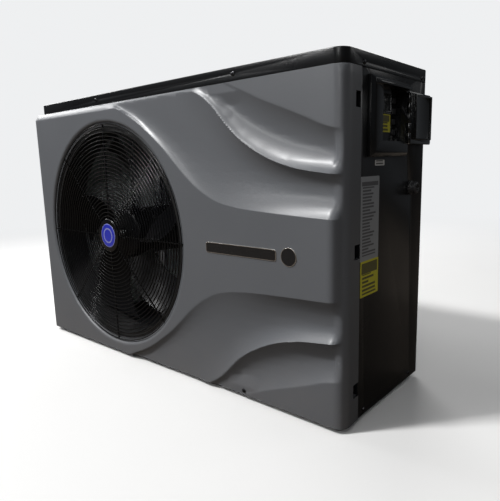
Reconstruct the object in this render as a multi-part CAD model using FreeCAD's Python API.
import FreeCAD, Part
import math
import os
from FreeCAD import Vector

# Side-discharge swimming pool heat pump. Millimetres, +Z up, the fan blows towards -Y,
# the control panel is on the +X side. Shapes are built from the moulded front panel's
# left edge (x = 0), its upper face (y = 0) and the floor (z = 0), and each is moved on
# export so that the origin is the bottom centre of the whole unit.

# ---- Overall sizes ----
body_height = 650.0       # lower edge of the panels to the top of the cover
foot_height = 10.0
panel_width = 995.0       # moulded front panel, left edge to right side
cabinet_depth = 326.0     # front panel's upper face to the rear sheet
service_width = 335.0     # partition to the right side
sheet = 1.5               # steel sheet
panel_wall = 3.0          # moulded front panel
corner_radius = 23.0      # upright front edges
slip = 0.2                # clearance round a screw's shank

# ---- Front panel ----
plateau_proud = 13.0      # fan plateau stands this far in front of the upper face
plateau_radius = 318.0
band_half_height = 76.0
band_rise = 3.0           # the band's middle, above the fan's axis
band_fillet = 170.0
band_end_gap = 9.0        # right end of the plateau, inside the panel's right side
plateau_top_gap = 16.0    # slanted strip between the plateau and the cover
return_depth = 56.0       # side return, back to the black side panel
left_return = 30.0
shelf_depth = 5.0         # top edge of the panel, under the cover's lip
pocket_height = 26.0
pocket_depth = 12.5
pocket_back = 20.0        # pocket's front edge, ahead of the seam
pocket_levels = (61.0, 317.0, 572.0)
trim_length = 182.0
trim_height = 22.0
trim_thick = 1.2
trim_centre = (773.0, 307.0)
trim_disc_radius = 17.5
trim_disc_gap = 10.5

# ---- Cover ----
cover_inset = 14.0        # cover's left end, inside the panel's left edge
cover_setback = 1.0       # cover's front lip, behind the panel's upper face
lip_height = 25.0

# ---- Fan ----
fan_offset = 330.0
fan_height = 304.0        # above the panels' lower edge
opening_radius = 277.0
ledge_inner = 268.0
ledge_drop = 7.0          # ledge face, behind the plateau face
throat_radius = 256.0
throat_length = 71.0
ring_pitch = 10.0
ring_count = 23
wire_radius = 1.2
rod_count = 8
guard_dome = 3.5
guard_hub_radius = 42.0
guard_hub_thick = 3.5
badge_radius = 30.0
blade_count = 5
blade_tip_gap = 6.0
blade_thick = 3.0
hub_radius = 62.0
hub_front = 32.0          # rotor hub's front face, behind the panel's upper face
hub_length = 46.0
shaft_radius = 6.0
shaft_play = 0.05
motor_radius = 62.0
motor_gap = 15.0          # hub's rear edge to the motor's front face
motor_length = 90.0
motor_flange = 4.0
motor_bolt_half = 48.0
rail_width = 25.0
rail_depth = 12.0
rail_half_span = 48.0

# ---- Evaporator ----
coil_thick = 36.0
coil_gap = 8.0            # coil's rear face, ahead of the rear sheet
coil_side_gap = 8.0       # coil's left face, inside the cover's left end
coil_corner = 60.0
coil_lift = 20.0
beam_height = 10.0
beam_drop = 14.0          # beam's underside, below the cover's lip
coil_front = 45.0
coil_end_gap = 20.0       # coil's right end, short of the partition
bend_radius = 12.7
bend_step = 50.8
tube_radius = 4.8
guard_thick = 4.0
guard_bar = 3.0
guard_rows = 4
guard_pitch = 24.0

# ---- Compressor room ----
compressor_radius = 62.0
compressor_height = 300.0
compressor_offset = (98.0, 156.0)      # from the partition, from the rear sheet
mount_height = 16.0
mount_radius = 14.0
mount_circle = 76.0
accumulator_radius = 34.0
accumulator_height = 190.0
accumulator_offset = (75.0, 50.0)
exchanger_radius = 70.0
exchanger_wall = 6.0
exchanger_height = 440.0
exchanger_offset = (88.5, 94.0)        # from the side sheet, from the rear sheet
titanium_radius = 40.0
titanium_tube = 7.0
port_levels = (90.0, 380.0)            # above the exchanger's base
stub_levels = (40.0, 335.0)            # refrigerant stubs, above the exchanger's base
port_radius = 25.0
port_bore = 20.0
port_length = 20.0                     # beyond the rear sheet
socket_radius = 24.2
socket_depth = 30.0
union_flange = 32.0
nut_radius = 41.0
pipe_radius = 6.0
pipe_bore = 5.0
pipe_bend = 18.0
valve_radius = 15.0
valve_length = 92.0
box_floor_drop = 150.0    # electrical box floor, below the cover's top
box_height = 110.0

# ---- Control panel on the right side ----
housing_front = 80.0
housing_back = 226.0
housing_low = 489.0
housing_high = 625.0
housing_thick = 12.0
hood_reach = 22.0
recess_front = 114.0
recess_back = 218.0
recess_low = 516.0
recess_high = 609.0
recess_depth = 18.0       # recess floor, inside the side sheet
module_lift = 12.0        # display plate above the recess floor
key_plate_lift = 6.0
key_count = 4
key_size = (14.0, 10.0)
key_thick = 3.8
key_travel = 1.0
key_gap = 1.2
stem_radius = 2.5
stem_play = 0.2
lens_thick = 2.0
hinge_y = 222.0
hinge_stand = 12.5        # hinge axis, outside the side sheet
door_reach = 108.0
door_low = 511.0
door_high = 608.0
door_thick = 3.0
door_pad = 4.0
knuckle_radius = 4.0
knuckle_gap = 0.4
pin_radius = 1.5
pin_play = 0.06
gland_at = (265.0, 426.0)
gland_bore = 6.5
label_thick = 0.3

# ---- Feet and screws ----
foot_radius = 25.0
foot_neck = 12.0
foot_bore = 4.5
foot_inset = (90.0, 50.0)
head_radius = 4.5
head_height = 2.4
shank_radius = 2.0
shank_length = 9.0

# ---- Derived places ----
base_z = foot_height
top_z = foot_height + body_height
lip_z = top_z - lip_height
floor_z = base_z + sheet
cover_left = cover_inset
inner_left = cover_left + sheet
inner_right = panel_width - 2 * sheet
side_face = panel_width - sheet
rear_y = cabinet_depth
inner_rear = rear_y - sheet
partition_x = panel_width - service_width
flange_top = base_z + 25.0
ceiling_z = top_z - sheet
fan_x = fan_offset
fan_z = base_z + fan_height
plateau_y = -plateau_proud
ledge_y = plateau_y + ledge_drop
guard_rim_y = ledge_y - wire_radius
blade_tip = throat_radius - blade_tip_gap
motor_front = hub_front + hub_length + motor_gap
motor_back = motor_front + motor_length
rail_y = motor_back + motor_flange
coil_rear = rear_y - coil_gap
coil_left = cover_left + coil_side_gap
coil_right = partition_x - coil_end_gap
coil_low = floor_z + coil_lift
coil_high = lip_z - beam_drop
compressor_x = partition_x + compressor_offset[0]
compressor_y = rear_y - compressor_offset[1]
accumulator_x = partition_x + accumulator_offset[0]
accumulator_y = rear_y - accumulator_offset[1]
exchanger_x = side_face - exchanger_offset[0]
exchanger_y = rear_y - exchanger_offset[1]
exchanger_base = floor_z + 25.0
box_floor = top_z - box_floor_drop
hinge_x = side_face + hinge_stand
port_end = rear_y + port_length
union_end = port_end + 2.0 + 10.0 + socket_depth
hub_face_y = guard_rim_y - guard_dome - wire_radius - guard_hub_thick
front_limit = hub_face_y - 1.0
right_limit = side_face + hood_reach
shift = Vector(-right_limit / 2, -(front_limit + union_end) / 2, 0)

X = Vector(1, 0, 0)
Y = Vector(0, 1, 0)
Z = Vector(0, 0, 1)

os.makedirs("parts", exist_ok=True)


# ---- Helpers ----
def save(name, shape):
    shape = shape.copy()
    shape.translate(shift)
    shape.exportStep("parts/" + name + ".step")


def block(x0, x1, y0, y1, z0, z1):
    return Part.makeBox(x1 - x0, y1 - y0, z1 - z0, Vector(x0, y0, z0))


def rod(radius, start, direction, length):
    return Part.makeCylinder(radius, length, start, direction)


def ring(outer, inner, start, direction, length):
    return rod(outer, start, direction, length).cut(rod(inner, start, direction, length))


def join(shapes):
    return shapes[0].multiFuse(shapes[1:]).removeSplitter()


def upright_edges(shape, x, y):
    """Vertical edges of a shape that stand at x, y."""
    found = []
    for edge in shape.Edges:
        ends = [vertex.Point for vertex in edge.Vertexes]
        if len(ends) == 2 and all(abs(p.x - x) < 0.01 and abs(p.y - y) < 0.01 for p in ends):
            found.append(edge)
    return found


def rounded(shape, corners):
    """The shape with its upright edges rounded; corners is a list of (x, y, radius)."""
    for x, y, radius in corners:
        shape = shape.makeFillet(radius, upright_edges(shape, x, y))
    return shape


def screw(at, into, length=shank_length):
    """A pan-head screw whose head sits on the surface at a point and whose shank goes in."""
    head = rod(head_radius, at - into * head_height, into, head_height)
    head = head.makeFillet(head_height * 0.45, [e for e in head.Edges if e.Curve.TypeId ==
                           "Part::GeomCircle" and (e.Curve.Center - at).dot(into) < -0.1])
    slot = ring(1.6, 0.6, at - into * (head_height + 1), into, 2.0)
    return head.cut(slot).fuse(rod(shank_radius, at, into, length)).removeSplitter()


def drilled(shape, points, into, depth):
    """The shape with clearance holes for the screws that start at these points."""
    holes = [rod(shank_radius + slip, p - into * 1.0, into, depth) for p in points]
    return shape.cut(holes)


def pipe(points, outer, inner, bend):
    """A hollow tube along straight runs that are joined by tangent arcs."""
    edges = []
    start = points[0]
    for here, corner, there in zip(points, points[1:], points[2:]):
        back = (here - corner).normalize()
        ahead = (there - corner).normalize()
        half = math.acos(back.dot(ahead)) / 2
        reach = bend / math.tan(half)
        middle = corner + (back + ahead).normalize() * (bend / math.sin(half) - bend)
        edges.append(Part.LineSegment(start, corner + back * reach).toShape())
        arc = Part.Arc(corner + back * reach, middle, corner + ahead * reach)
        edges.append(arc.toShape())
        start = corner + ahead * reach
    edges.append(Part.LineSegment(start, points[-1]).toShape())
    path = Part.Wire(edges)
    first = (points[1] - points[0]).normalize()
    solids = []
    for radius in (outer, inner):
        section = Part.Wire([Part.makeCircle(radius, points[0], first)])
        solids.append(path.makePipeShell([section], True, False))
    return solids[0].cut(solids[1])


def keyhole(inset, y, thick):
    """Fan plateau: a disc round the fan that runs out into a band to the right."""
    radius = plateau_radius - inset
    half = band_half_height - inset
    fillet = band_fillet + inset
    low = base_z + inset
    high = lip_z - plateau_top_gap - inset
    right = panel_width - band_end_gap - inset
    disc = rod(radius, Vector(fan_x, y, fan_z), Y, thick)
    side = block(inset, fan_x, y, y + thick, low, high)
    band = block(fan_x, right, y, y + thick, fan_z + band_rise - half, fan_z + band_rise + half)
    # a web fills the corner between disc and band, and a scoop rounds it off
    webs = []
    scoops = []
    for sign in (-1, 1):
        edge = half + sign * band_rise
        drop = edge + fillet
        run = math.sqrt((radius + fillet) ** 2 - drop ** 2)
        angle = math.atan2(drop, run)
        web = [Vector(fan_x, y, fan_z),
               Vector(fan_x + radius * math.cos(angle), y, fan_z + sign * radius * math.sin(angle)),
               Vector(fan_x + run, y, fan_z + sign * edge),
               Vector(fan_x + run, y, fan_z)]
        webs.append(Part.Face(Part.makePolygon(web + web[:1])).extrude(Y * thick))
        centre = Vector(fan_x + run, y - 1, fan_z + sign * drop)
        scoops.append(rod(fillet, centre, Y, thick + 2))
    bounds = block(inset, right, y, y + thick, low, high)
    body = disc.fuse([side, band] + webs).common(bounds).cut(scoops)
    return body.removeSplitter()


# ---- Screw places ----
cover_front_points = [Vector(x, cover_setback, lip_z + 13.0) for x in (298.0, panel_width - 236.0)]
cover_side_points = [Vector(panel_width, y, lip_z + 7.0) for y in (64.0, rear_y - 22.0)]
cover_rear_points = [Vector(x, rear_y + sheet, lip_z + 8.0) for x in (60.0, partition_x - 12.0, panel_width - 45.0)]
side_low_points = [Vector(side_face, y, base_z + 10.0) for y in (81.0, rear_y - 40.0)]
front_low_points = [Vector(panel_width - 233.0, 0, base_z + 9.0)]
pocket_floor = panel_width - pocket_depth
return_points = [Vector(pocket_floor, return_depth - 10.0, base_z + z) for z in pocket_levels]
service_levels = (base_z + 60.0, base_z + body_height / 2, lip_z - 40.0)
service_points = [Vector(x, rear_y, z) for x in (partition_x + 8.0, panel_width - 27.0)
                  for z in service_levels]


# ---- Casing ----
def base_pan():
    round_corner = corner_radius - panel_wall
    pan = block(inner_left, inner_right, panel_wall, inner_rear, base_z, flange_top)
    pan = rounded(pan, [(inner_right, panel_wall, round_corner)])
    inside = block(inner_left + sheet, inner_right - sheet, panel_wall + sheet,
                   inner_rear - sheet, floor_z, flange_top + 1)
    inside = rounded(inside, [(inner_right - sheet, panel_wall + sheet, round_corner - sheet)])
    pan = pan.cut(inside)
    holes = [rod(foot_neck, p, Z, sheet) for p in foot_points()]
    holes += [rod(9.0, Vector(x, rear_y - 60, base_z), Z, sheet) for x in (200.0, 420.0)]
    pan = pan.cut(holes)
    pan = drilled(pan, side_low_points, -X, 12)
    return drilled(pan, front_low_points, Y, 12)


def foot_points():
    left, right = inner_left + foot_inset[0], inner_right - foot_inset[0]
    front, back = panel_wall + foot_inset[1], inner_rear - foot_inset[1]
    return [Vector(x, y, base_z) for x in (left, right) for y in (front, back)]


def feet():
    pads = []
    for point in foot_points():
        pad = rod(foot_radius, Vector(point.x, point.y, 0), Z, foot_height)
        neck = rod(foot_neck, point, Z, sheet)
        collar = rod(foot_neck + 3, point + Z * sheet, Z, 3.0)
        bore = rod(foot_bore, Vector(point.x, point.y, 0), Z, foot_height + 20)
        pads.append(join([pad, neck, collar]).cut(bore))
    return Part.makeCompound(pads)


def front_panel():
    outer = block(0, panel_width, 0, return_depth, base_z, lip_z - 0.5)
    outer = rounded(outer, [(panel_width, 0, corner_radius), (0, 0, 6.0)])
    inner = block(panel_wall, panel_width - panel_wall, panel_wall, return_depth + 1,
                  base_z - 1, lip_z - 0.5 - panel_wall)
    inner = rounded(inner, [(panel_width - panel_wall, panel_wall, corner_radius - panel_wall)])
    shell = outer.cut([inner,
                       block(-1, panel_wall, left_return, return_depth + 1, base_z - 1, top_z),
                       block(-1, panel_width - panel_wall - 1, shelf_depth, return_depth + 1,
                             lip_z - 0.5 - panel_wall - 1, top_z)])
    shell = shell.fuse(block(0, inner_left, left_return - panel_wall, left_return, base_z,
                             lip_z - 0.5))
    plateau = keyhole(0.0, plateau_y, plateau_proud)
    hollow = keyhole(panel_wall, plateau_y + panel_wall, plateau_proud)
    shell = shell.fuse(plateau).cut(hollow)
    # fan opening with its stepped ledge
    centre = Vector(fan_x, plateau_y, fan_z)
    collar = rod(opening_radius + panel_wall, centre, Y, ledge_drop + panel_wall)
    shell = shell.fuse(collar.common(block(0, panel_width, plateau_y, 0, base_z, lip_z)))
    shell = shell.cut([rod(opening_radius, centre - Y, Y, ledge_drop + 1),
                       rod(ledge_inner, centre - Y, Y, plateau_proud + panel_wall + 2),
                       rod(opening_radius + panel_wall, Vector(fan_x, ledge_y + panel_wall, fan_z),
                           Y, plateau_proud)])
    # screw pockets in the side return
    for z in pocket_levels:
        middle = base_z + z
        half = pocket_height / 2
        front = return_depth - pocket_back
        shell = shell.fuse(block(pocket_floor - panel_wall, panel_width - panel_wall, front - panel_wall,
                                 return_depth, middle - half - panel_wall, middle + half + panel_wall))
        shell = shell.cut(block(pocket_floor, panel_width + 1, front, return_depth + 1,
                                middle - half, middle + half))
    shell = drilled(shell, return_points, -X, 8)
    return drilled(shell, front_low_points, Y, 8).removeSplitter()


def top_cover():
    back = rear_y + sheet
    outer = block(cover_left, panel_width, cover_setback, back, lip_z, top_z)
    outer = rounded(outer, [(panel_width, cover_setback, corner_radius),
                            (cover_left, cover_setback, corner_radius),
                            (panel_width, back, 6.0), (cover_left, back, 6.0)])
    top_edges = [e for e in outer.Edges if all(abs(v.Z - top_z) < 0.01 for v in e.Vertexes)]
    outer = outer.makeFillet(2.0, top_edges)
    inner = block(inner_left, side_face, cover_setback + sheet, rear_y, lip_z - 1, ceiling_z)
    inner_r = corner_radius - sheet
    inner = rounded(inner, [(side_face, cover_setback + sheet, inner_r),
                            (inner_left, cover_setback + sheet, inner_r)])
    cover = outer.cut(inner)
    cover = drilled(cover, cover_front_points, Y, 4)
    cover = drilled(cover, cover_side_points, -X, 4)
    return drilled(cover, cover_rear_points, -Y, 4)


def front_rail():
    left, right = cover_left + corner_radius, panel_width - corner_radius
    front = cover_setback + sheet
    rail = block(left, right, front, front + sheet, lip_z - 0.5, ceiling_z)
    rail = rail.fuse(block(left, right, front, front + 16, ceiling_z - sheet, ceiling_z))
    return drilled(rail.removeSplitter(), cover_front_points, Y, 8)


def right_side_panel():
    plate = block(inner_right, side_face, return_depth, rear_y, base_z, ceiling_z)
    rear = block(panel_width - 20, side_face, inner_rear, rear_y, base_z, ceiling_z)
    tongue = block(panel_width - 36, panel_width - 20, inner_rear - sheet, inner_rear, flange_top, ceiling_z)
    tongue_root = block(panel_width - 22, inner_right, inner_rear - sheet, inner_rear, flange_top, ceiling_z)
    strip_x = pocket_floor - panel_wall - sheet
    front = block(strip_x, side_face, return_depth, return_depth + sheet, flange_top, lip_z - 4)
    strip = block(strip_x, strip_x + sheet, return_depth - pocket_back, return_depth + sheet,
                  flange_top, lip_z - 4)
    panel = join([plate, rear, tongue, tongue_root, front, strip])
    panel = panel.cut([block(inner_right - 2, side_face + 1, recess_front - 3, recess_back + 3,
                             recess_low - 3, recess_high + 3),
                       rod(10.0 + slip, Vector(inner_right - 2, gland_at[0], gland_at[1]), X, 8)])
    panel = drilled(panel, cover_side_points, -X, 8)
    panel = drilled(panel, side_low_points, -X, 4)
    panel = drilled(panel, return_points, -X, 12)
    return drilled(panel, service_points, -Y, 8)


def rear_service_panel():
    panel = block(partition_x, panel_width - 20, inner_rear, rear_y, base_z, ceiling_z)
    holes = [rod(union_flange + 3, Vector(exchanger_x, inner_rear - 1, exchanger_base + z), Y, 4)
             for z in port_levels]
    panel = panel.cut(holes)
    panel = drilled(panel, cover_rear_points[1:], -Y, 6)
    return drilled(panel, service_points, -Y, 4)


def corner_posts():
    front = block(inner_left, inner_left + sheet, shelf_depth, 42, flange_top, lip_z - 1)
    front = front.fuse(block(inner_left, inner_left + 16, shelf_depth, shelf_depth + sheet,
                             flange_top, lip_z - 1)).removeSplitter()
    back = block(inner_left, inner_left + sheet, rear_y - 26, rear_y, flange_top, ceiling_z)
    back = back.fuse(block(inner_left, inner_left + 54, inner_rear, rear_y, flange_top, ceiling_z))
    back = drilled(back.removeSplitter(), cover_rear_points[:1], -Y, 6)
    return front, back


def slotted(x0, x1, y0, y1, z0, z1, along):
    """A guard plate with rows of upright slots; along is the axis that the slots step in."""
    plate = block(x0, x1, y0, y1, z0, z1)
    low, high = (x0, x1) if along == "x" else (y0, y1)
    count = int((high - low - guard_bar) // guard_pitch)
    margin = (high - low - count * guard_pitch + guard_bar) / 2
    row = (coil_high - 6 - z0 - guard_bar * 2) / guard_rows
    cutters = []
    for i in range(count):
        start = low + margin + i * guard_pitch
        for j in range(guard_rows):
            floor = z0 + guard_bar * 2 + j * row
            span = (start, start + guard_pitch - guard_bar)
            if along == "x":
                cutters.append(block(*span, y0 - 1, y1 + 1, floor, floor + row - guard_bar * 2))
            else:
                cutters.append(block(x0 - 1, x1 + 1, *span, floor, floor + row - guard_bar * 2))
    return plate.cut(cutters)


def rear_guard():
    return slotted(inner_left + 54, partition_x, rear_y - guard_thick, rear_y, flange_top,
                   lip_z - 1, "x")


def left_guard():
    return slotted(inner_left, inner_left + panel_wall, 42, rear_y - 26, flange_top, lip_z - 1, "y")


def partition():
    wall = block(partition_x, partition_x + sheet, shelf_depth + 1, inner_rear, floor_z, lip_z - 4)
    foot = block(partition_x, partition_x + 14, shelf_depth + 30, inner_rear - sheet, floor_z, floor_z + sheet)
    rear = block(partition_x, partition_x + 16, inner_rear - sheet, inner_rear, flange_top, lip_z - 4)
    wall = join([wall, foot, rear])
    wall = wall.cut(block(partition_x - 1, partition_x + 20, 0, panel_wall + sheet, base_z, flange_top))
    wall = wall.cut([rod(pipe_radius + 1.5, p, X, 12) for p in coil_pipe_holes()])
    wall = wall.cut(block(partition_x - 1, partition_x + 20, inner_rear - 2 * sheet, rear_y, base_z, flange_top))
    return drilled(wall, service_points, -Y, 6)


def coil_pipe_holes():
    """Where the liquid and gas pipes pass the partition, each between two of the coil's bends."""
    y = coil_rear - coil_thick / 2
    return [Vector(partition_x - 4, y, coil_low + row * bend_step) for row in (1, 8)]


# ---- Fan ----
def fan_shroud():
    y = ledge_y + panel_wall
    flange = ring(opening_radius + panel_wall, throat_radius, Vector(fan_x, y, fan_z), Y, 2.0)
    throat = ring(throat_radius + 2.0, throat_radius, Vector(fan_x, y, fan_z), Y, throat_length)
    lip = ring(throat_radius + 8.0, throat_radius, Vector(fan_x, y + throat_length, fan_z), Y, 2.0)
    return join([flange, throat, lip])


def guard_y(radius):
    rim = opening_radius - 4.5
    return guard_rim_y - guard_dome * (1 - radius / rim)


def fan_guard():
    rim = opening_radius - 4.5
    pieces = []
    for i in range(ring_count):
        radius = rim - i * ring_pitch
        front = Vector(fan_x, guard_y(radius) - wire_radius, fan_z)
        pieces.append(ring(radius + wire_radius, radius - wire_radius, front, Y, 2 * wire_radius))
    drop = 2 * wire_radius - 0.4
    inner = Vector(fan_x, guard_y(guard_hub_radius - 4) - drop, fan_z)
    for i in range(rod_count):
        angle = 2 * math.pi * (i + 0.04) / rod_count
        out = Vector(math.cos(angle), 0, math.sin(angle))
        start = inner + out * (guard_hub_radius - 4)
        end = Vector(fan_x, guard_y(rim) - drop, fan_z) + out * (rim + wire_radius)
        pieces.append(rod(wire_radius, start, end - start, (end - start).Length))
    hub = rod(guard_hub_radius, Vector(fan_x, hub_face_y, fan_z), Y, guard_hub_thick)
    pieces.append(hub)
    return join(pieces)


def guard_badge():
    return rod(badge_radius, Vector(fan_x, hub_face_y - 1.0, fan_z), Y, 1.0)


def blade_section(radius, chord, pitch, sweep, axial):
    """Flat cambered outline of a blade, square to the radius, turned back by the sweep."""
    sides = []
    for face in (1, -1):
        side = []
        for i in range(7):
            s = i / 6 - 0.5
            camber = chord * 0.06 * (1 - 4 * s * s)
            half = face * blade_thick / 2 * (1 - 0.7 * abs(2 * s) ** 3)
            along = s * chord * math.cos(pitch) - (camber + half) * math.sin(pitch)
            back = s * chord * math.sin(pitch) + (camber + half) * math.cos(pitch)
            side.append(Vector(radius * math.cos(sweep) - along * math.sin(sweep), axial + back,
                               radius * math.sin(sweep) + along * math.cos(sweep)))
        sides.append(side)
    upper, lower = sides
    edges = []
    for side in (upper, lower[::-1]):
        curve = Part.BSplineCurve()
        curve.interpolate(side)
        edges.append(curve.toShape())
    edges.insert(1, Part.LineSegment(upper[-1], lower[-1]).toShape())
    edges.append(Part.LineSegment(lower[0], upper[0]).toShape())
    return Part.Wire(edges)


def fan_rotor():
    middle = hub_front + hub_length / 2
    stations = []
    for share in (0.0, 0.35, 0.7, 1.0):
        radius = hub_radius - 8 + share * (blade_tip + 4 - hub_radius + 8)
        chord = 74 + 56 * share
        pitch = math.radians(40 - 18 * share)
        sweep = math.radians(26 * share * share)
        stations.append(blade_section(radius, chord, pitch, sweep, 0))
    blade = Part.makeLoft(stations, True, False)
    blades = []
    for i in range(blade_count):
        copy = blade.copy()
        copy.rotate(Vector(0, 0, 0), Y, 360.0 * i / blade_count - 8)
        copy.translate(Vector(fan_x, middle, fan_z))
        blades.append(copy)
    front = Vector(fan_x, hub_front, fan_z)
    hub = rod(hub_radius, front, Y, hub_length)
    hub = hub.makeFillet(8.0, [e for e in hub.Edges if len(e.Vertexes) == 1
                               and abs(e.Vertexes[0].Y - hub_front) < 0.01])
    tip_limit = rod(blade_tip, front - Y * 60, Y, hub_length + 120)
    rotor = hub.fuse([b.common(tip_limit) for b in blades])
    rotor = rotor.cut(rod(hub_radius - 5, front + Y * 5, Y, hub_length + 80))
    boss = ring(16.0, shaft_radius, front + Y * 3, Y, hub_length + 5)
    ribs = [block(-hub_radius + 3, -15, -2, 2, 0, 30) for i in range(6)]
    for i, rib in enumerate(ribs):
        rib.rotate(Vector(0, 0, 0), X, -90)
        rib.rotate(Vector(0, 0, 0), Y, 60 * i)
        rib.translate(front + Y * 4)
    rotor = rotor.fuse([boss] + ribs)
    return rotor.cut(rod(shaft_radius, front - Y, Y, hub_length + 30)).removeSplitter()


def fan_shaft():
    start = Vector(fan_x, hub_front - 12, fan_z)
    return rod(shaft_radius, start, Y, motor_back - 20 - start.y)


def fan_nut():
    side = 2 * (shaft_radius + 4)
    corners = []
    for i in range(7):
        angle = math.radians(60 * i)
        corners.append(Vector(fan_x + side / 1.9 * math.cos(angle), hub_front - 8,
                              fan_z + side / 1.9 * math.sin(angle)))
    nut = Part.Face(Part.makePolygon(corners)).extrude(Y * 8)
    return nut.cut(rod(shaft_radius, Vector(fan_x, hub_front - 9, fan_z), Y, 10))


def motor_points():
    half = motor_bolt_half
    return [Vector(fan_x + sx * half, motor_back, fan_z + sz * half) for sx in (-1, 1) for sz in (-1, 1)]


def fan_motor():
    front = Vector(fan_x, motor_front, fan_z)
    body = rod(motor_radius, front, Y, motor_length)
    body = body.makeFillet(10.0, [e for e in body.Edges if len(e.Vertexes) == 1
                                  and abs(e.Vertexes[0].Y - motor_front) < 0.01])
    nose = rod(20.0, front - Y * 6, Y, 12)
    half = motor_bolt_half + 12
    flange = block(fan_x - half, fan_x + half, motor_back, rail_y, fan_z - half, fan_z + half)
    motor = join([body, nose, flange])
    bore = rod(shaft_radius + shaft_play, front - Y * 7, Y, motor_length - 10)
    return drilled(motor.cut(bore), motor_points(), Y, 8)


def motor_bracket():
    rails = []
    for sign in (-1, 1):
        centre = fan_x + sign * rail_half_span
        outer = block(centre - rail_width / 2, centre + rail_width / 2, rail_y, rail_y + rail_depth,
                      floor_z, coil_high)
        inner = block(centre - rail_width / 2 + sheet, centre + rail_width / 2 - sheet, rail_y + sheet,
                      rail_y + rail_depth + 1, floor_z, coil_high)
        rails.append(outer.cut(inner))
    gap = rail_half_span - rail_width / 2
    straps = [block(fan_x - gap, fan_x + gap, rail_y, rail_y + sheet, z - 12, z + 12)
              for z in (fan_z - 150, fan_z + 150)]
    return drilled(join(rails + straps), motor_points(), Y, 12)


def top_beam():
    """Channel across the top of the fan room, on the coil and the motor's rails."""
    left = inner_left + panel_wall
    front, back = rail_y - 4, rail_y + rail_depth + 4
    beam = block(left, partition_x, front, back, coil_high, coil_high + beam_height)
    return beam.cut(block(left, partition_x, front + sheet, back - sheet, coil_high,
                          coil_high + beam_height - sheet))


# ---- Evaporator ----
def coil_plan(inset, low, high):
    """The bent coil's outline in plan, thinner by an inset on both faces."""
    left = coil_left + inset
    back = coil_rear - inset
    thick = coil_thick - 2 * inset
    side = block(left, left + thick, coil_front, back - coil_corner, low, high)
    rear = block(left + coil_corner, coil_right, back - thick, back, low, high)
    centre = Vector(left + coil_corner, back - coil_corner, low)
    bend = ring(coil_corner, coil_corner - thick, centre, Z, high - low)
    bend = bend.common(block(left, centre.x, centre.y, back, low, high))
    return join([side, rear, bend])


def coil_bends():
    bends = []
    rows = int((coil_high - coil_low - bend_step / 2) // bend_step)
    loop = Part.makeTorus(bend_radius, tube_radius, Vector(0, 0, 0), Y)
    half = loop.common(block(0, 40, -20, 20, -40, 40))
    turned = half.copy()
    turned.rotate(Vector(0, 0, 0), Z, -90)
    for i in range(rows):
        z = coil_low + bend_step * (i + 0.5)
        for step in (0.3, 0.7):
            end = half.copy()
            end.translate(Vector(coil_right, coil_rear - coil_thick * step, z))
            bends.append(end)
            end = turned.copy()
            end.translate(Vector(coil_left + coil_thick * step, coil_front, z))
            bends.append(end)
    return Part.makeCompound(bends)


# ---- Compressor room ----
def compressor():
    base = floor_z + mount_height
    centre = Vector(compressor_x, compressor_y, base)
    body = rod(compressor_radius, centre + Z * 3, Z, compressor_height)
    rims = [e for e in body.Edges if len(e.Vertexes) == 1]
    body = body.makeFillet(24.0, rims)
    plate = rod(mount_circle + 10, centre, Z, 6).cut(rod(mount_circle + 12, centre + Z * 6, Z, 5))
    stub = rod(pipe_radius + 2, centre + Z * (compressor_height - 10) + X * 22, Z, 28)
    inlet = rod(pipe_radius + 2, centre + Z * 60 - X * (compressor_radius - 4), -X, 12)
    whole = join([body, plate, stub, inlet])
    return whole.cut([rod(4.2, p + Z * (mount_height - 1), Z, 10) for p in mount_points()])


def mount_points():
    points = []
    for i in range(3):
        angle = math.radians(90 + 120 * i)
        points.append(Vector(compressor_x + mount_circle * math.cos(angle),
                             compressor_y + mount_circle * math.sin(angle), floor_z))
    return points


def compressor_mounts():
    return Part.makeCompound([ring(mount_radius, 4.2, p, Z, mount_height) for p in mount_points()])


def compressor_bolts():
    bolts = []
    for p in mount_points():
        shank = rod(4.0, p, Z, mount_height + 6)
        bolts.append(shank.fuse(rod(9.0, p + Z * (mount_height + 6), Z, 6)).removeSplitter())
    return Part.makeCompound(bolts)


def accumulator():
    base = Vector(accumulator_x, accumulator_y, floor_z + 60)
    body = rod(accumulator_radius, base, Z, accumulator_height)
    body = body.makeFillet(18.0, [e for e in body.Edges if len(e.Vertexes) == 1])
    leg = rod(10.0, Vector(base.x, base.y, floor_z), Z, 64)
    top = rod(pipe_radius + 2, base + Z * (accumulator_height - 6), Z, 20)
    return join([body, leg, top])


def exchanger_shell():
    base = Vector(exchanger_x, exchanger_y, exchanger_base)
    outer = rod(exchanger_radius, base, Z, exchanger_height)
    outer = outer.makeFillet(16.0, [e for e in outer.Edges if len(e.Vertexes) == 1])
    plinth = rod(24.0, Vector(base.x, base.y, floor_z), Z, exchanger_base - floor_z + 8)
    ports = []
    bores = []
    for z in port_levels:
        start = Vector(base.x, base.y + exchanger_radius - 14, base.z + z)
        reach = port_end - start.y
        ports.append(rod(port_radius, start, Y, reach))
        ports.append(rod(union_flange, start + Y * (reach - 4), Y, 4))
        bores.append(rod(port_bore, start, Y, reach + 1))
    stubs = []
    for z in stub_levels:
        stubs.append(rod(pipe_radius + 2, base + Z * z - Y * (exchanger_radius - 6), -Y, 14))
    shell = join([outer, plinth] + ports + stubs)
    inner = rod(exchanger_radius - exchanger_wall, base + Z * exchanger_wall, Z,
                exchanger_height - 2 * exchanger_wall)
    inner = inner.makeFillet(10.0, [e for e in inner.Edges if len(e.Vertexes) == 1])
    return shell.cut([inner] + bores)


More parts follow.
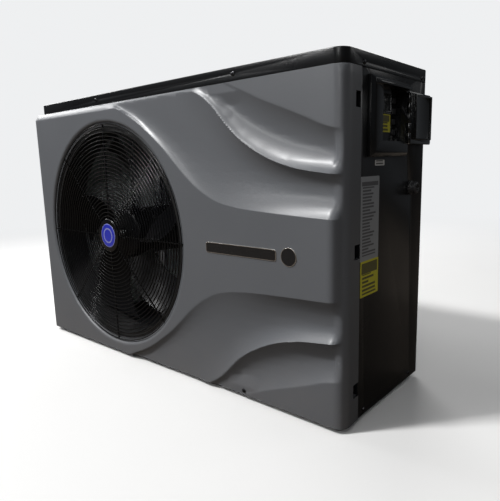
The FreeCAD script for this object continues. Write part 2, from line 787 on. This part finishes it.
def titanium_coil():
    """The coil of tube inside the exchanger, as close turns on a thin sleeve."""
    base = Vector(exchanger_x, exchanger_y, exchanger_base + stub_levels[0] - titanium_tube)
    pitch = 2 * titanium_tube
    count = int((stub_levels[1] - stub_levels[0]) // pitch) + 1
    turns = []
    for i in range(count):
        turns.append(Part.makeTorus(titanium_radius, titanium_tube - 0.2,
                                    base + Z * (i * pitch + titanium_tube), Z))
    for z in stub_levels:
        end = Vector(exchanger_x, exchanger_y - titanium_radius, exchanger_base + z)
        turns.append(rod(pipe_radius, end, -Y, exchanger_radius - exchanger_wall - titanium_radius - 0.5))
    sleeve = rod(titanium_radius - 1, base, Z, count * pitch)
    return sleeve.multiFuse(turns).cut(rod(titanium_radius - 3, base, Z, count * pitch))


def port_grommets():
    rings = []
    for z in port_levels:
        at = Vector(exchanger_x, inner_rear, exchanger_base + z)
        rings.append(ring(union_flange + 3, port_radius, at, Y, sheet))
    return Part.makeCompound(rings)


def union_seals():
    rings = []
    for z in port_levels:
        at = Vector(exchanger_x, port_end, exchanger_base + z)
        rings.append(ring(port_radius + 4, port_bore + 1, at, Y, 2.0))
    return Part.makeCompound(rings)


def union_tail(z):
    start = Vector(exchanger_x, port_end + 2, exchanger_base + z)
    body = rod(socket_radius + 5, start, Y, 10 + socket_depth)
    body = body.fuse(rod(union_flange, start, Y, 4))
    body = body.cut([rod(port_bore, start, Y, 12), rod(socket_radius, start + Y * 10, Y, socket_depth)])
    return body.removeSplitter()


def union_nut(z):
    start = Vector(exchanger_x, port_end - 12, exchanger_base + z)
    nut = rod(nut_radius - 2, start, Y, 26)
    ribs = []
    for i in range(8):
        rib = block(-5, 5, 0, 26, nut_radius - 6, nut_radius)
        rib.rotate(Vector(0, 0, 0), Y, 45 * i)
        rib.translate(start)
        ribs.append(rib)
    nut = nut.multiFuse(ribs)
    nut = nut.cut([rod(union_flange + 0.1, start, Y, 18.1), rod(socket_radius + 5.1, start, Y, 27)])
    return nut.removeSplitter()


# four-way valve
valve_centre = Vector(partition_x + 120.0, 116.0, base_z + 430.0)


def valve_ports():
    """Where each port of the reversing valve ends, by name."""
    low = valve_centre - Z * (valve_radius + 14)
    high = valve_centre + Z * (valve_radius + 14)
    return {"discharge": high, "coil": low - X * 30, "suction": low, "water": low + X * 30}


def reversing_valve():
    start = valve_centre - X * (valve_length / 2)
    body = rod(valve_radius, start, X, valve_length)
    body = body.makeFillet(5.0, [e for e in body.Edges if len(e.Vertexes) == 1])
    stubs = []
    for name, end in valve_ports().items():
        up = 1 if name == "discharge" else -1
        stubs.append(rod(pipe_radius + 2, end - Z * up * 18, Z * up, 18))
    pilot = rod(7.0, valve_centre - Y * (valve_radius + 6) - X * 22, X, 44)
    link = rod(3.0, valve_centre - Y * (valve_radius + 6), Y, 12)
    return join([body, pilot, link] + stubs)


def discharge_pipe():
    start = Vector(compressor_x + 22, compressor_y, floor_z + mount_height + compressor_height + 18)
    end = valve_ports()["discharge"]
    top = end.z + 34
    side = Vector(compressor_x + 22, compressor_y, top)
    return pipe([start, side, Vector(end.x, end.y, top), end], pipe_radius, pipe_bore, pipe_bend)


def suction_pipe():
    start = valve_ports()["suction"]
    end = Vector(accumulator_x, accumulator_y, floor_z + 74 + accumulator_height)
    low = start.z - 64
    return pipe([start, Vector(start.x, start.y, low), Vector(accumulator_x, start.y, low),
                 Vector(accumulator_x, accumulator_y, low), end], pipe_radius, pipe_bore, pipe_bend)


def water_gas_pipe():
    start = valve_ports()["water"]
    end = Vector(exchanger_x, exchanger_y - exchanger_radius - 8, exchanger_base + stub_levels[1])
    low = end.z
    return pipe([start, Vector(start.x, start.y, low), Vector(exchanger_x, start.y, low), end],
                pipe_radius, pipe_bore, pipe_bend)


def coil_gas_pipe():
    start = valve_ports()["coil"]
    hole = coil_pipe_holes()[1]
    low = start.z - 28
    end = Vector(coil_right, hole.y, hole.z)
    side = Vector(partition_x + 32, hole.y, hole.z)
    return pipe([start, Vector(start.x, start.y, low), Vector(side.x, start.y, low),
                 Vector(side.x, hole.y, low), side, end], pipe_radius, pipe_bore, pipe_bend - 4)


def expansion_valve():
    at = Vector(partition_x + 150, compressor_y - 106, base_z + 120)
    body = rod(14.0, at, Z, 36)
    coil = rod(19.0, at + Z * 36, Z, 26)
    coil = coil.makeFillet(4.0, [e for e in coil.Edges if len(e.Vertexes) == 1])
    side = rod(pipe_radius + 2, at + Z * 12 + X * 10, X, 16)
    back = rod(pipe_radius + 2, at + Z * 12 - X * 10, -X, 16)
    return join([body, coil, side, back]), at


def liquid_pipes():
    valve_at = expansion_valve()[1]
    outlet = Vector(exchanger_x, exchanger_y - exchanger_radius - 8, exchanger_base + stub_levels[0])
    start = valve_at + Z * 12 + X * 26
    first = pipe([start, Vector(exchanger_x, start.y, start.z), Vector(exchanger_x, start.y, outlet.z),
                  outlet], pipe_radius, pipe_bore, pipe_bend)
    hole = coil_pipe_holes()[0]
    start = valve_at + Z * 12 - X * 26
    lane = partition_x + 22
    second = pipe([start, Vector(lane, start.y, start.z), Vector(lane, start.y, hole.z),
                   Vector(lane, hole.y, hole.z), Vector(coil_right, hole.y, hole.z)],
                  pipe_radius, pipe_bore, pipe_bend - 4)
    return Part.makeCompound([first, second])


def drain_stub():
    at = Vector(exchanger_x - 120, inner_rear, base_z + 16)
    flange = rod(13.0, at + Y * sheet, Y, 3)
    tube = rod(9.0, at - Y * 12, Y, 44)
    return flange.fuse(tube).cut(rod(7.0, at - Y * 13, Y, 60)).removeSplitter(), at


# ---- Electrics ----
box_left = partition_x + sheet
box_right = inner_right - recess_depth - 22.0
box_front = 76.0
box_back = inner_rear - 10.0


def electrical_box():
    outer = block(box_left, box_right, box_front, box_back, box_floor, box_floor + box_height)
    inner = block(box_left + sheet, box_right - sheet, box_front + sheet, box_back - sheet,
                  box_floor + sheet, box_floor + box_height + 1)
    return outer.cut(inner)


def circuit_board():
    z = box_floor + sheet + 8
    board = block(box_left + 14, box_left + 164, box_front + 16, box_front + 206, z, z + 1.6)
    parts = [board,
             block(box_left + 30, box_left + 70, box_front + 40, box_front + 62, z + 1.6, z + 20),
             block(box_left + 30, box_left + 60, box_front + 90, box_front + 130, z + 1.6, z + 26),
             block(box_left + 90, box_left + 150, box_front + 150, box_front + 190, z + 1.6, z + 14)]
    for i in range(4):
        parts.append(rod(9.0, Vector(box_left + 110, box_front + 46 + i * 24, z), Z, 32))
    legs = [rod(3.0, Vector(x, y, box_floor + sheet), Z, 8) for x in (box_left + 20, box_left + 158)
            for y in (box_front + 22, box_front + 200)]
    return join(parts + legs)


def run_capacitor():
    at = Vector(box_left + 196, box_front + 50, box_floor + sheet)
    body = rod(22.0, at, Z, 84)
    body = body.makeFillet(3.0, [e for e in body.Edges if len(e.Vertexes) == 1])
    tabs = [block(at.x - 12, at.x - 6, at.y - 1, at.y + 1, at.z + 80, at.z + 96),
            block(at.x + 6, at.x + 12, at.y - 1, at.y + 1, at.z + 80, at.z + 96)]
    return join([body] + tabs)


def contactor():
    x, y, z = box_left + 176, box_front + 90, box_floor + sheet
    body = block(x, x + 46, y, y + 58, z, z + 52)
    steps = [block(x - 1, x + 47, y, y + 12, z + 40, z + 60), block(x - 1, x + 47, y + 46, y + 58, z + 40, z + 60)]
    return body.cut(steps).removeSplitter()


def terminal_block():
    x, y, z = box_left + 176, box_front + 164, box_floor + sheet
    body = block(x, x + 50, y, y + 66, z, z + 14)
    walls = [block(x, x + 50, y + i * 12.8, y + i * 12.8 + 2, z + 14, z + 24) for i in range(6)]
    return join([body] + walls)


# ---- Control panel ----
recess_floor = inner_right - recess_depth
housing_face = side_face + housing_thick
plate_x = recess_floor + module_lift
key_x = recess_floor + key_plate_lift


def knuckle_spans():
    """Heights of the hinge knuckles, bottom to top, with small gaps between them."""
    step = (door_high - door_low - 4) / 5
    spans = []
    for i in range(5):
        low = door_low + 2 + i * step
        spans.append((low + knuckle_gap / 2, low + step - knuckle_gap / 2))
    return spans


def control_housing():
    face = block(side_face, housing_face, housing_front, housing_back, housing_low, housing_high)
    face = face.makeChamfer(6.0, [e for e in face.Edges if all(abs(v.X - housing_face) < 0.01
                            for v in e.Vertexes)])
    profile = [(side_face, housing_high), (side_face + hood_reach, housing_high - 12),
               (side_face + hood_reach, housing_high - 16), (side_face + 4, housing_high - 16)]
    corners = [Vector(x, housing_front + 6, z) for x, z in profile]
    hood = Part.Face(Part.makePolygon(corners + corners[:1])).extrude(Y * (recess_back - housing_front - 12))
    tub = block(recess_floor - 2, side_face, recess_front - 3, recess_back + 3, recess_low - 3, recess_high + 3)
    housing = join([face, hood, tub])
    housing = housing.cut([block(recess_floor, housing_face + 1, recess_front, recess_back, recess_low, recess_high),
                           block(housing_face - knuckle_radius, housing_face + 1, hinge_y - knuckle_radius - 0.4,
                                 housing_back + 1, door_low - 0.5, door_high + 0.5)])
    for low, high in knuckle_spans()[::2]:
        barrel = rod(knuckle_radius, Vector(hinge_x, hinge_y, low), Z, high - low)
        web = block(housing_face - knuckle_radius - 1, hinge_x, hinge_y - knuckle_radius, hinge_y, low, high)
        housing = housing.fuse([barrel, web])
    housing = housing.cut(rod(pin_radius, Vector(hinge_x, hinge_y, door_low - 2), Z, door_high - door_low + 4))
    sleeves = [rod(knuckle_radius + knuckle_gap, Vector(hinge_x, hinge_y, low), Z, high - low)
               for low, high in knuckle_spans()[1::2]]
    return housing.cut(sleeves).removeSplitter()


def hinge_pin():
    return rod(pin_radius, Vector(hinge_x, hinge_y, door_low), Z, door_high - door_low)


def control_cover():
    """Weather cover of the controls, swung open flat along the side of the cabinet."""
    far = hinge_y + door_reach
    plate = block(hinge_x - door_thick, hinge_x, hinge_y, far, door_low, door_high)
    corner = [e for e in plate.Edges if all(abs(v.Y - far) < 0.01 for v in e.Vertexes)
              and abs(e.Vertexes[0].X - e.Vertexes[1].X) > 1]
    corner.sort(key=lambda e: e.Vertexes[0].Z)
    plate = plate.makeFillet(4.0, corner[:1])
    tall = [e for e in plate.Edges if len(e.Vertexes) == 2 and all(abs(v.Y - far) < 0.01
            and abs(v.Z - door_high) < 0.01 for v in e.Vertexes)]
    plate = plate.makeFillet(12.0, tall)
    pad = block(hinge_x, hinge_x + door_pad, hinge_y + 24, far - 6, recess_low + 4, recess_high - 4)
    hollow = block(hinge_x + 1, hinge_x + door_pad + 1, hinge_y + 27, far - 9, recess_low + 7, recess_high - 7)
    ribs = [block(hinge_x, hinge_x + 1.5, hinge_y + d, hinge_y + d + 2, recess_low + 4, recess_high - 4)
            for d in (10, 17)]
    door = plate.fuse([pad.cut(hollow)] + ribs)
    sleeves = [rod(knuckle_radius + knuckle_gap, Vector(hinge_x, hinge_y, low - knuckle_gap), Z,
                   high - low + 2 * knuckle_gap) for low, high in knuckle_spans()[::2]]
    end_gaps = [block(hinge_x - door_thick - 1, hinge_x + 1, hinge_y - 1, hinge_y + knuckle_radius + knuckle_gap, z0, z1)
                for z0, z1 in ((door_low - 1, knuckle_spans()[0][0]), (knuckle_spans()[-1][1], door_high + 1))]
    door = door.cut(sleeves + end_gaps)
    barrels = [rod(knuckle_radius, Vector(hinge_x, hinge_y, low), Z, high - low)
               for low, high in knuckle_spans()[1::2]]
    door = door.fuse(barrels)
    return door.cut(rod(pin_radius + pin_play, Vector(hinge_x, hinge_y, door_low - 1), Z,
                        door_high - door_low + 2)).removeSplitter()


def key_places():
    step = (recess_high - recess_low - 16) / key_count
    return [Vector(key_x, recess_back - 16, recess_low + 8 + step * (i + 0.5)) for i in range(key_count)]


def display_module():
    edge = recess_back - 32
    base = block(recess_floor, key_x, recess_front, recess_back, recess_low, recess_high)
    raised = block(recess_floor, plate_x, recess_front, edge, recess_low, recess_high)
    window = block(plate_x - lens_thick, plate_x + 1, recess_front + 3, edge - 3, recess_high - 38, recess_high - 8)
    body = base.fuse(raised).cut(window)
    return body.cut([rod(stem_radius + stem_play, p - X * 8, X, 12) for p in key_places()]).removeSplitter()


def display_lens():
    edge = recess_back - 32
    lens = block(plate_x - lens_thick, plate_x, recess_front + 3, edge - 3, recess_high - 38, recess_high - 8)
    return lens


def key(place):
    low = key_x + key_gap
    cap = block(low, low + key_thick, place.y - key_size[0] / 2, place.y + key_size[0] / 2,
                place.z - key_size[1] / 2, place.z + key_size[1] / 2)
    cap = cap.makeFillet(1.0, [e for e in cap.Edges if all(abs(v.X - low - key_thick) < 0.01 for v in e.Vertexes)])
    stem = rod(stem_radius, Vector(recess_floor + key_travel + 0.2, place.y, place.z), X,
               low - recess_floor - key_travel - 0.2 + 1)
    return cap.fuse(stem).removeSplitter()


# ---- Cable gland and labels ----
def gland_parts():
    y, z = gland_at
    body = join([rod(14.0, Vector(side_face, y, z), X, 4), rod(10.0, Vector(side_face - 16, y, z), X, 18)])
    body = body.cut(rod(gland_bore, Vector(side_face - 20, y, z), X, 40))
    dome = rod(12.0, Vector(side_face + 4, y, z), X, 12)
    dome = dome.makeFillet(4.0, [e for e in dome.Edges if len(e.Vertexes) == 1
                                 and abs(e.Vertexes[0].X - side_face - 16) < 0.01])
    dome = dome.cut(rod(gland_bore, Vector(side_face, y, z), X, 40))
    lock = ring(15.0, 10.0, Vector(inner_right - 5, y, z), X, 5)
    return body, dome, lock


def label(y0, y1, z0, z1):
    return block(side_face, side_face + label_thick, y0, y1, z0, z1)


def trim_badge():
    """A plain bar and a disc, stuck on the plateau."""
    x, z = trim_centre
    z += base_z
    bar = block(x - trim_length / 2, x + trim_length / 2, plateau_y - trim_thick, plateau_y,
                z - trim_height / 2, z + trim_height / 2)
    short = [e for e in bar.Edges if abs(e.Vertexes[0].Y - e.Vertexes[1].Y) > 0.1]
    disc_x = x + trim_length / 2 + trim_disc_gap + trim_disc_radius
    disc = rod(trim_disc_radius, Vector(disc_x, plateau_y - trim_thick, z), Y, trim_thick)
    return Part.makeCompound([bar.makeFillet(5.0, short), disc])


# ---- Export ----
front_post, rear_post = corner_posts()
gland_body, gland_dome, gland_locknut = gland_parts()
drain, drain_at = drain_stub()
service_panel = rear_service_panel().cut(rod(9.0 + slip, drain_at - Y, Y, 6))
pan = base_pan().cut(rod(9.0 + slip, drain_at - Y * 4, Y, 6))

save("base_pan", pan)
save("feet", feet())
save("front_panel", front_panel())
save("top_cover", top_cover())
save("front_rail", front_rail())
save("right_side_panel", right_side_panel())
save("rear_service_panel", service_panel)
save("left_posts", Part.makeCompound([front_post, rear_post]))
save("trim_badge", trim_badge())
save("rear_guard", rear_guard())
save("left_guard", left_guard())
save("partition", partition())

save("fan_shroud", fan_shroud())
save("fan_guard", fan_guard())
save("guard_badge", guard_badge())
save("fan_rotor", fan_rotor())
save("fan_shaft", fan_shaft())
save("fan_nut", fan_nut())
save("fan_motor", fan_motor())
save("motor_bracket", motor_bracket())
save("top_beam", top_beam())
save("motor_screws", Part.makeCompound([screw(p, Y) for p in motor_points()]))

save("coil_fins", coil_plan(0, coil_low, coil_high))
save("coil_stand", coil_plan(10, floor_z, coil_low))
save("coil_bends", coil_bends())

save("compressor", compressor())
save("compressor_mounts", compressor_mounts())
save("compressor_bolts", compressor_bolts())
save("accumulator", accumulator())
save("exchanger_shell", exchanger_shell())
save("titanium_coil", titanium_coil())
save("port_grommets", port_grommets())
save("union_seals", union_seals())
save("union_tails", Part.makeCompound([union_tail(z) for z in port_levels]))
save("union_nuts", Part.makeCompound([union_nut(z) for z in port_levels]))
save("reversing_valve", reversing_valve())
save("discharge_pipe", discharge_pipe())
save("suction_pipe", suction_pipe())
save("water_gas_pipe", water_gas_pipe())
save("coil_gas_pipe", coil_gas_pipe())
save("expansion_valve", expansion_valve()[0])
save("liquid_pipes", liquid_pipes())
save("drain_stub", drain)

save("electrical_box", electrical_box())
save("circuit_board", circuit_board())
save("run_capacitor", run_capacitor())
save("contactor", contactor())
save("terminal_block", terminal_block())

save("control_housing", control_housing())
save("control_cover", control_cover())
save("hinge_pin", hinge_pin())
save("display_module", display_module())
save("display_lens", display_lens())
for i, place in enumerate(key_places()):
    save("key_" + str(i + 1), key(place))
save("cable_gland", gland_body.fuse(gland_dome).removeSplitter())
save("labels", Part.makeCompound([label(59, 128, 306, 455), label(61, 129, 240, 306), label(110, 147, 473, 483)]))
save("casing_screws", Part.makeCompound(
    [screw(p, Y) for p in cover_front_points + front_low_points]
    + [screw(p, -X) for p in cover_side_points + side_low_points + return_points]
    + [screw(p, -Y) for p in cover_rear_points + service_points]))
